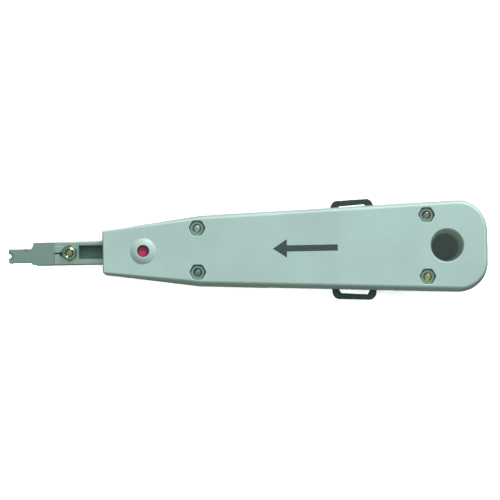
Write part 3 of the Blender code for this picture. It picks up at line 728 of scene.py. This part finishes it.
def hex_pocket(spot):
    """A nut pocket's cutter, with rounded corners and a rolled edge."""
    x, y = spot
    edge_z = THICKNESS - POCKET_ROLL
    levels = [(0.0, NUT_LOW_Z - 0.15), (0.0, edge_z)]
    levels += [(out, edge_z + up) for out, up in rolled_rim(POCKET_ROLL)]
    levels.append((POCKET_ROLL + 0.4, THICKNESS + 0.4))
    outlines = []
    for growth, _ in levels:
        reach = POCKET_REACH + growth / math.cos(math.pi / 6)
        angles = [math.pi * n / 3 for n in range(6)]
        corners = [(reach * math.cos(a), reach * math.sin(a), 1.4) for a in angles]
        outlines.append([(x + a, y + b) for a, b in rounded(corners, 5)])
    return loft("pocket", outlines, [z for _, z in levels])


def case_cavity(side):
    """The hollow of one half shell, less its posts, ribs and hole wall."""
    steps = ((-0.6, 2.3, 2.0, 2.0), (6.4, 3.1, 2.5, 2.3), (7.0, 3.7, 3.0, 2.9))
    heights = [PARTING_Z + side * step[0] for step in steps]
    cavity = loft("cavity", [case_outline(*step[1:]) for step in steps], heights)
    keeps = [cylinder("post", spot, 3.9, THROUGH_Z) for spot in SCREW_SPOTS]
    keeps.append(cylinder("wall", (HANG_X, 0), 7.0, THROUGH_Z, 64))
    for hand in (-1, 1):
        y_range = sorted((hand * 6.5, hand * 7.5))
        keeps.append(box("long_rib", (13, 60), y_range, THROUGH_Z))
    low, high = sorted((PARTING_Z + side * 2.6, PARTING_Z + side * 10))
    keeps.append(box("seat_rib", (11.4, 12.8), (-8, 8), (low, high)))
    if side > 0:
        keeps.append(cylinder("guide", (DOME_X, 0), 4.2, (14.2, 19)))
    return shape(cavity, cuts=keeps)


def mouth_cutter():
    """The square opening that the carrier comes out of, wider behind its lip."""
    rings = []
    for x, reach in ((-60, 4.95), (-54.2, 4.95), (-53.2, 4.5), (-50.5, 4.5)):
        rings.append([point(x, y, PARTING_Z + z) for y, z in square(reach, 0.5, 4)])
    return skin("mouth", rings)


def counterbore(spot):
    """The cutter of a screw head's recess in the lower shell, with a softened edge."""
    profile = [(3.55, -0.2), (3.35, 0.0), (3.17, 0.08), (3.1, 0.25), (3.1, 3.1)]
    return stack("counterbore", spot, profile, 64)


def upper_openings():
    """The cutters of the hanging hole and the pin's hole in the upper shell."""
    return [
        upper_hang_hole(),
        cylinder("pin_hole", (DOME_X, 0), PIN_HOLE_RADIUS, (13, 20), 64),
        stack("pin_rim", (DOME_X, 0), [(2.1, 18.68), (2.5, 19.08)], 64),
    ]


def lower_openings():
    """The cutters of the hanging hole's narrower end, in the lower shell."""
    return [
        stack("hang", (HANG_X, 0), [(4.95, -0.5), (4.95, 0.3), (5.25, 9.5)], 128),
        stack("hang_rim", (HANG_X, 0), [(5.45, -0.2), (4.9, 0.35)], 128),
    ]


def shell(name, side):
    """One half of the handle: side is 1 for the upper shell and -1 for the lower one."""
    steps = wall_steps()
    outlines = [case_outline(*step[1:]) for step in steps]
    half = loft(name + "_moulding", outlines, [PARTING_Z + side * step[0] for step in steps])
    if side > 0:
        shape(half, joins=[dome()])
    cuts = [case_cavity(side), mouth_cutter()]
    for hand in (-1, 1):
        y_range = sorted((hand * 7.8, hand * 25))
        cuts.append(box("slot", (7.0, 95), y_range, (PARTING_Z - 1.2, PARTING_Z + 1.2)))
    for spot in SCREW_SPOTS:
        cuts.append(cylinder("hole", spot, 1.7, (-2, 20), 40))
        cuts.append(hex_pocket(spot) if side > 0 else counterbore(spot))
    cuts += upper_openings() if side > 0 else lower_openings()
    finish(shape(half, cuts=cuts), name)


# ---- screws and nuts ----


def thread(name, spot, z_range, root, dome_height):
    """A threaded end with a domed tip: its radius runs from root to crest along a helix."""
    pitch, sides, steps = 0.5, 40, 8
    x, y = spot
    low, high = z_range[0], z_range[1] - dome_height
    angles = [2 * math.pi * step / sides for step in range(sides)]
    rings = []
    count = int((high - low) / pitch * steps)
    for row in range(count + 1):
        z = low + (high - low) * row / count
        fade = min((high - z) / 0.2, 1.0)
        ring = []
        for step, angle in enumerate(angles):
            tooth = 1 - abs(2 * ((z / pitch - step / sides) % 1.0) - 1)
            radius = root + (THREAD_CREST - root) * min(max(tooth * 1.5 - 0.2, 0.0), 1.0) * fade
            ring.append(point(x + radius * math.cos(angle), y + radius * math.sin(angle), z))
        rings.append(ring)
    for step in range(1, 9):
        lift = math.radians(11 * step)
        radius = root * math.cos(lift)
        z = high + dome_height * math.sin(lift)
        rings.append([point(x + radius * math.cos(a), y + radius * math.sin(a), z) for a in angles])
    return skin(name, rings)


def bar_outline(half_width, half_length):
    return [(a * half_width, b * half_length) for a, b in CORNER_SIGNS]


def cross_recess(spot, turn):
    """The two tapered arms of a screw head's cross."""
    arms = []
    for quarter in (0, math.pi / 2):
        arm_cutter = loft("recess", [bar_outline(0.30, 1.35), bar_outline(0.18, 0.5)], (0.5, 2.3))
        place = Matrix.Translation(point(*spot, 0)) @ Matrix.Rotation(turn + quarter, 4, "Z")
        arm_cutter.data.transform(place)
        arms.append(arm_cutter)
    return arms


def case_screws_and_nuts():
    """Four M3 screws from below, whose ends stand in their nuts on the upper face."""
    head = [(1.1, 0.90), (2.0, 0.96), (2.45, 1.14), (2.68, 1.45), (2.75, 1.85), (2.75, 2.9)]
    crown = ((2.3, 0.0), (2.6, 0.16), (2.93, 0.6))
    for number, spot in enumerate(SCREW_SPOTS, start=1):
        screw = stack(f"screw_{number}", spot, head + [(1.45, 2.9), (1.45, 14.2)])
        shaft = thread("shaft", spot, (14.0, NUT_TOP_Z), 1.25, 0.4)
        recess = cross_recess(spot, math.radians(20 + 37 * number))
        shape(screw, joins=[shaft], cuts=recess)
        finish(screw, f"case_screw_{number}", SCREW_STEELS[spot[0] > 0, spot[1] > 0])
        nut = hex_nut(f"nut_{number}", spot, (NUT_LOW_Z, NUT_TOP_Z), 3.0, crown, 0.14)
        finish(nut, f"case_nut_{number}", NUT_STEEL)


def hex_nut(name, spot, z_range, corner, crown, sink, turn=0.0):
    """A hex nut whose crown is turned through (radius, drop) pairs, from its top circle out.

    sink is how wide the bore's chamfers are.
    """
    low, high = z_range
    bore = THREAD_CREST
    nut = stack(name, spot, [(corner, low), (corner, high)], 6, turn)
    envelope_profile = [(crown[0][0], low), (crown[-1][0], low + 0.4)]
    envelope_profile += [(radius, high - drop) for radius, drop in reversed(crown)]
    envelope = stack("envelope", spot, envelope_profile, 72)
    past = 0.2
    hole = [
        (bore + sink + past, low - past * BORE_SLOPE),
        (bore, low + sink * BORE_SLOPE),
        (bore, high - sink * BORE_SLOPE),
        (bore + sink + past, high + past * BORE_SLOPE),
    ]
    return shape(nut, crosses=[envelope], cuts=[stack("bore", spot, hole, 48)])


# ---- inside the handle ----


def case_inside():
    """The sleeve in the mouth, the return spring and the seat behind it."""
    guide = beam("mouth_guide", (-51.2, -46.0), 5.4, (0, PARTING_Z), 0.6, 0.3)
    guide.data.transform(
        Matrix.Translation(point(0, 0, PARTING_Z))
        @ Matrix.Diagonal((1, 1, 6.6 / 5.4, 1))
        @ Matrix.Translation(point(0, 0, -PARTING_Z))
    )
    shape(guide, cuts=[beam("guide_bore", (-60, -40), 4.35, (0, PARTING_Z), 0.3, 0.0001)])
    finish(guide, "front_guide")
    seat = box("spring_rest", (7.0, 11.0), (-6.2, 6.2), (2.3, 15.7))
    seat_bore = along_x("seat_bore", [(5, 2.2), (13, 2.2)], (0, PARTING_Z))
    finish(shape(seat, cuts=[seat_bore]), "spring_seat")
    spring_x = (-28.8, 6.7)
    spring = finish(coil("main_spring", spring_x, (0, PARTING_Z), 3.4, 1.0, 9), "return_spring")
    squeeze(spring)


# ---- plunger ----


def carrier():
    """The square tube with its windows, slots and the lip across it."""
    tube = beam("carrier_tube", (CARRIER_FRONT_X, -31.0), CARRIER_HALF, (0, PARTING_Z), 0.35, 0.12)
    lip = beam("lip", (-63.25, -62.85), 0.2, (0, 0), 0.08, 0.04)
    lip_place = Matrix.Translation(point(0, 0, CARRIER_TOP_Z + 0.1))
    lip.data.transform(lip_place @ Matrix.Diagonal((1, 20.0, 1.25, 1)))
    top_wall = (10, 15)
    bottom_wall = (3, 8)
    window_x, window_y = (-62.8, -52.0), (-2.2, 2.9)
    window_rim_z = (CARRIER_TOP_Z - 0.12, CARRIER_TOP_Z + 0.1)
    cuts = [
        box("bore", (-80, -20), (-2.8, 2.8), (PARTING_Z - 2.8, PARTING_Z + 2.8)),
        box("window", window_x, window_y, top_wall),
        frustum_box("window_rim", window_x, window_y, window_rim_z, 0.2),
        box("lock_slot", (DOME_X - 9.4, DOME_X), (-1.45, 1.45), top_wall),
        cylinder("keyhole", (DOME_X, 0), 3.0, top_wall),
        box("notch", (-80, -68.15), (-0.2, 2.75), top_wall),
        cylinder("slit_hole", SLIT_END, SLIT_END_RADIUS, top_wall, 40),
        cylinder("pivot_hole", (PIVOT_X, 0), PIVOT_BORE, (3, 15)),
        box("follower_window", (PIVOT_X + 21.8, PIVOT_X + 26.2), (-2.3, 2.3), bottom_wall),
        box("spring_slot", (-56.2, -47.5), (-1.25, 1.25), bottom_wall),
        turn_to_y(cylinder("cross_hole", (0, 0), 1.0, (-6, 6), 32), -33.5, PARTING_Z),
    ]
    finish(shape(tube, joins=[lip], cuts=cuts), "carrier")


def nose_outline(shoulder_x, collar_x):
    """The nose from above: forked tip, stepped shoulders and the tongue between the slits."""
    half_width, fork_half, fork_depth = 2.58, 0.8, 1.05
    low, high = NOSE_Y - half_width, NOSE_Y + half_width
    fork_low, fork_high = NOSE_Y - fork_half, NOSE_Y + fork_half
    tongue_x, tongue_low, tongue_high = -68.17, 0.24, 2.73
    return [
        (TIP_X + 0.15, low - 0.25, 0.6),
        (TIP_X + 1.9, low, 0.8),
        (shoulder_x, low, 0.12),
        (shoulder_x, -3.85, 0.3),
        (collar_x, -CARRIER_HALF, 0.1),
        (NOSE_REAR_X, -CARRIER_HALF, 0),
        (NOSE_REAR_X, tongue_low, 0),
        (tongue_x, tongue_low, 0.15),
        (tongue_x, tongue_high, 0.15),
        (NOSE_REAR_X, tongue_high, 0),
        (NOSE_REAR_X, CARRIER_HALF, 0),
        (shoulder_x + 0.9, CARRIER_HALF, 0.4),
        (shoulder_x, high, 0.4),
        (TIP_X + 1.2, high, 0.4),
        (TIP_X + 0.3, high + 0.2, 0.25),
        (TIP_X, high - 0.6, 0.3),
        (TIP_X, fork_high + 0.1, 0.25),
        (TIP_X + fork_depth, fork_high - 0.3, 0.3),
        (TIP_X + fork_depth, fork_low + 0.3, 0.3),
        (TIP_X, fork_low - 0.1, 0.3),
    ]


def insertion_tip():
    """The forked nose, its collar round the scissors and its tongue inside the carrier."""
    shoulder_x, collar_half = -80.5, 4.05
    collar_x = shoulder_x + 1.8
    nose = plate("nose", [rounded(nose_outline(shoulder_x, collar_x), 6)], (9.6, 13.2), 0.2)
    collar = beam("collar", (collar_x, NOSE_REAR_X), collar_half, (0, 0), 0.35, 0.1)
    stretch = Matrix.Diagonal((1, CARRIER_HALF / collar_half, 1, 1))
    collar.data.transform(Matrix.Translation(point(0, 0, PARTING_Z - 0.15)) @ stretch)
    tongue = box("tongue", (NOSE_REAR_X - 2, -63.3), (-2.6, 2.6), (9.65, 11.6))
    notch = [circle(TIP_X + 0.15, NOSE_Y, radius, 32) for radius in (0.8, 1.75)]
    cuts = [
        box("inside", (-84, -71), (-2.9, 2.9), (6.2, 9.5)),
        loft("notch_bevel", notch, (12.55, 13.3)),
        cylinder("tip_pivot", (PIVOT_X, 0), PIVOT_BORE, (8, 13)),
        cylinder("slit_end", SLIT_END, SLIT_END_RADIUS, (9.0, 14.0), 40),
        box("slit", (NOSE_REAR_X, SLIT_END[0]), (-0.2, 0.24), (9.0, 14.0)),
        stack("dimple", (-82.4, 1.05), [(0.26, 12.0), (0.26, 13.12), (0.36, 13.22)], 24),
    ]
    finish(shape(nose, joins=[collar, tongue], cuts=cuts), "insertion_tip")


def pivot():
    """The scissors' screw, headed below the carrier, and its nut on top."""
    spot = (PIVOT_X, 0)
    head = [(1.4, 1.4), (2.2, 1.36), (2.55, 1.2), (2.7, 0.9), (2.7, 0.15), (1.45, 0.15)]
    profile = [(radius, CARRIER_LOW_Z - drop) for radius, drop in head]
    body = stack("pivot_bolt", spot, profile + [(1.45, CARRIER_TOP_Z - 0.4)])
    slot_z = (CARRIER_LOW_Z - 2, CARRIER_LOW_Z - 0.75)
    slot = box("driver_slot", (PIVOT_X - 4, PIVOT_X + 4), (-0.35, 0.35), slot_z)
    end = thread("pivot_end", spot, (CARRIER_TOP_Z - 0.6, CARRIER_TOP_Z + 1.75), 1.2, 0.35)
    finish(shape(body, joins=[end], cuts=[slot]), "pivot_screw", YELLOW_ZINC)
    crown = ((1.8, 0.0), (2.45, 0.39), (3.12, 1.55))
    nut_z = (CARRIER_TOP_Z + 0.15, CARRIER_TOP_Z + 2.1)
    nut = hex_nut("pivot_hex", spot, nut_z, 3.1, crown, 0.3, math.pi / 2)
    finish(nut, "pivot_nut", PIVOT_STEEL)


def blades():
    """The scissor blade that stays and the sensor slide, as thin plates, and its spring."""
    fixed = [
        (-88.4, -3.1, 0.3),
        (-76.0, -2.55, 0),
        (-47.8, -2.55, 0.6),
        (-47.8, 2.55, 0.6),
        (-72.0, 2.55, 1.0),
        (-77.0, -1.2, 1.0),
        (-87.9, -1.56, 0),
    ]
    loops = [rounded(fixed), circle(PIVOT_X, 0, PIVOT_BORE)]
    # The fixed blade's colour carries painted shade from the carrier's window.
    finish(plate("scissor_fixed", loops, (8.5, 9.4), 0.06), "fixed_scissor_blade", SHADED_BLADE)
    sensor = [
        (-88.0, -2.06, 0.4),
        (-78.5, -2.06, 1.0),
        (-75.0, -2.5, 1.0),
        (-56.0, -2.5, 0.4),
        (-56.0, 2.5, 0.4),
        (-75.0, 2.5, 1.0),
        (-78.5, 0.54, 1.0),
        (-88.0, 0.54, 0.4),
    ]
    slot_front, slot_rear, slot_half = PIVOT_X - 3.7, PIVOT_X + 1.7, 1.7
    slot = [
        (slot_front, -slot_half, 1.2),
        (slot_rear, -slot_half, 1.2),
        (slot_rear, slot_half, 1.2),
        (slot_front, slot_half, 1.2),
    ]
    finish(plate("sensor_plate", [rounded(sensor), rounded(slot)], (6.4, 7.3), 0.06), "sensor_slide")
    spring_x = (-55.8, -47.7)
    spring = finish(coil("small_spring", spring_x, (0, 6.1), 0.8, 0.3, 9, 20), "sensor_spring")
    squeeze(spring)


def lock_pin():
    """The turned pin: its stem, the collar that locks the carrier and its dished head."""
    profile = [
        (1.2, 11.9),
        (1.2, 13.45),
        (2.7, 13.45),
        (2.7, 14.05),
        (PIN_RADIUS, 14.05),
        (PIN_RADIUS, 17.3),
        (2.08, 17.48),
        (1.93, 17.68),
        (1.65, 17.82),
        (1.25, 17.88),
        (0.8, 17.9),
        (0.45, 17.86),
        (0.2, 17.83),
    ]
    finish(stack("red_pin", (DOME_X, 0), profile, 72), "lock_pin")


# ---- hook and blade ----


def arm(name, node, hand, base, reach, taper, radius, bar, end):
    """A flat arm on a rear case screw, with a finger loop from base[0] to base[1].

    hand is 1 for +Y and -1 for -Y. The loop's outer side is at y reach, bar wide, and end
    holds the corners of the arm's far end.
    """
    half = ARM_HALF_WIDTH
    lean = SIDE_SLOPE * (base[1] - base[0]) / 2
    ring = [math.radians(-95 + 190 * step / 36) for step in range(37)]
    corners = [(3.4 * math.cos(a), 3.4 * math.sin(a), 0) for a in ring]
    corners += [
        (-6.0, half, 2.0),
        (base[1] + 0.3, half, 0.5),
        (base[1], 4.1, 0.0),
        (base[1] - taper, reach + lean, radius),
        (base[0] + taper, reach - lean, radius),
        (base[0], 3.6, 0.0),
        (base[0] - 0.3, half, 0.5),
        *end,
        (-6.0, -half, 2.0),
    ]
    hole = [
        (base[1] - 3.4, reach - bar + lean, 0.5),
        (base[0] + 3.45, reach - bar - lean, 0.5),
        (base[0] + 2.05, 2.6, 0.5),
        (base[1] - 2.0, 2.6, 0.5),
    ]
    if hand < 0:
        corners, hole = mirrored(corners), mirrored(hole)
    made = plate(name, [rounded(corners), rounded(hole), circle(0, 0, 1.62)], ARM_Z, 0.13)
    pivot_x, pivot_y = SCREW_SPOTS[2][0], hand * abs(SCREW_SPOTS[2][1])
    made.data.transform(Matrix.Translation(point(pivot_x, pivot_y, 0)))
    finish(made, node)


def hook_and_blade():
    """The two folded arms, whose far ends are inside the handle."""
    hook_end = [
        (-43.0, ARM_HALF_WIDTH, 2.0),
        (-47.5, 0.8, 2.0),
        (-57.4, 0.8, 0.7),
        (-57.4, -2.3, 0.4),
        (-56.2, -2.3, 0.4),
        (-55.8, -1.0, 0.4),
        (-47.5, -1.2, 2.0),
        (-43.0, -ARM_HALF_WIDTH, 2.0),
    ]
    blade_end = [
        (-47.0, ARM_HALF_WIDTH, 3.0),
        (-57.6, -1.9, 0.3),
        (-57.0, -ARM_HALF_WIDTH, 0.3),
    ]
    hook_loop = {"base": (-35.4, -19.25), "reach": 6.55, "taper": 1.1, "radius": 2.2, "bar": 2.0}
    blade_loop = {"base": (-35.25, -18.55), "reach": 7.7, "taper": 0.5, "radius": 2.8, "bar": 2.15}
    arm("hook_arm", "hook", 1, end=hook_end, **hook_loop)
    arm("blade_arm", "blade", -1, end=blade_end, **blade_loop)


def printed_mark():
    """A plain printed arrow that points to the nose."""
    point_x, barb_x, tail_x = 9.0, 14.2, 33.0
    barb_half, shaft_half = 3.4, 1.15
    arrow = [
        (point_x, 0.0),
        (barb_x, -barb_half),
        (barb_x, -shaft_half),
        (tail_x, -shaft_half),
        (tail_x, shaft_half),
        (barb_x, shaft_half),
        (barb_x, barb_half),
    ]
    mark = loft("arrow_print", [arrow, arrow], (THICKNESS - 0.02, THICKNESS + 0.012))
    mark.data.materials.append(grey_ink())
    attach(mark, "case")


# ---- stage, light and camera ----

FLOOR_ONLY = bpy.data.collections.new("lit_by_the_wash")


def stage():
    """A pale floor that the tool's sides and steel don't pick up as bounce."""
    floor_look = Look("pale_floor", 0.9)
    floor_look.colour(floor_look.mix(floor_look.noise(400, 2), (0.40, 0.40, 0.40), (0.43, 0.43, 0.43)))
    cage = bmesh.new()
    bmesh.ops.create_grid(cage, x_segments=1, y_segments=1, size=3.0)
    floor = from_bmesh("floor", cage)
    floor.location.z = -0.0001
    floor.data.materials.append(floor_look.material)
    floor.visible_diffuse = False
    floor.visible_glossy = False
    FLOOR_ONLY.objects.link(floor)


def area_light(name, azimuth, elevation, size, power):
    """A square soft light that faces the tool; azimuth 0 is +X and 90 is +Y."""
    distance = 1.6
    data = bpy.data.lights.new(name, "AREA")
    data.size = size
    data.energy = power
    light = bpy.data.objects.new(name, data)
    scene.collection.objects.link(light)
    turn, lift = math.radians(azimuth), math.radians(elevation)
    away = Vector((math.cos(turn) * math.cos(lift), math.sin(turn) * math.cos(lift), math.sin(lift)))
    light.location = away * distance
    light.rotation_mode = "QUATERNION"
    light.rotation_quaternion = away.to_track_quat("Z", "Y")
    return light


def lights():
    """A low key light from behind, and four soft ones that only light the floor."""
    area_light("key", azimuth=65, elevation=28, size=0.4, power=32)
    for azimuth in (15, 105, 195, 285):
        wash = area_light("floor_wash", azimuth, elevation=34, size=1.0, power=52)
        wash.light_linking.receiver_collection = FLOOR_ONLY


def studio_world():
    """A pale sky that grows darker and warmer towards the horizon and below it."""
    world = bpy.data.worlds.new("studio")
    world.use_nodes = True
    nodes, links = world.node_tree.nodes, world.node_tree.links
    direction = nodes.new("ShaderNodeTexCoord").outputs["Generated"]
    split = nodes.new("ShaderNodeSeparateXYZ")
    links.new(direction, split.inputs["Vector"])
    rise = nodes.new("ShaderNodeMath")
    rise.operation = "MULTIPLY_ADD"
    rise.inputs[1].default_value = 0.5
    rise.inputs[2].default_value = 0.5
    links.new(split.outputs["Z"], rise.inputs[0])
    sky = nodes.new("ShaderNodeValToRGB")
    stops = (
        (0.48, (0.172, 0.17, 0.105)),
        (0.55, (0.23, 0.24, 0.225)),
        (0.72, (0.44, 0.475, 0.46)),
        (1.0, (0.46, 0.50, 0.485)),
    )
    while len(sky.color_ramp.elements) < len(stops):
        sky.color_ramp.elements.new(0.5)
    for element, (place, colour) in zip(sky.color_ramp.elements, stops):
        element.position = place
        element.color = (*colour, 1.0)
    links.new(rise.outputs["Value"], sky.inputs["Fac"])
    links.new(sky.outputs["Color"], nodes["Background"].inputs["Color"])
    scene.world = world


def camera():
    """Almost straight above, from a little in front, with a long lens."""
    data = bpy.data.cameras.new("camera")
    view_width = 0.186
    distance = 1.25
    data.sensor_width = 36.0
    data.lens = data.sensor_width * distance / view_width
    data.clip_end = 10.0
    rig = bpy.data.objects.new("camera", data)
    scene.collection.objects.link(rig)
    lift = math.radians(87.6)
    back = Vector((0.0, -math.cos(lift), math.sin(lift)))
    rig.location = point(0.56, 0.07, PARTING_Z) + back * distance
    rig.rotation_mode = "QUATERNION"
    roll = Matrix.Rotation(math.radians(-1.13), 4, "Z").to_quaternion()
    rig.rotation_quaternion = back.to_track_quat("Z", "Y") @ roll
    scene.camera = rig


case_screws_and_nuts()
case_inside()
carrier()
insertion_tip()
pivot()
blades()
lock_pin()
hook_and_blade()
printed_mark()
shell("lower_shell", -1)
shell("upper_shell", 1)
for node, part in frame["nodes"].items():
    part.data.materials.clear()
    part.data.materials.append(LOOKS[SLOT_OF[node]])
stage()
lights()
studio_world()
camera()
scene.view_settings.view_transform = "Standard"
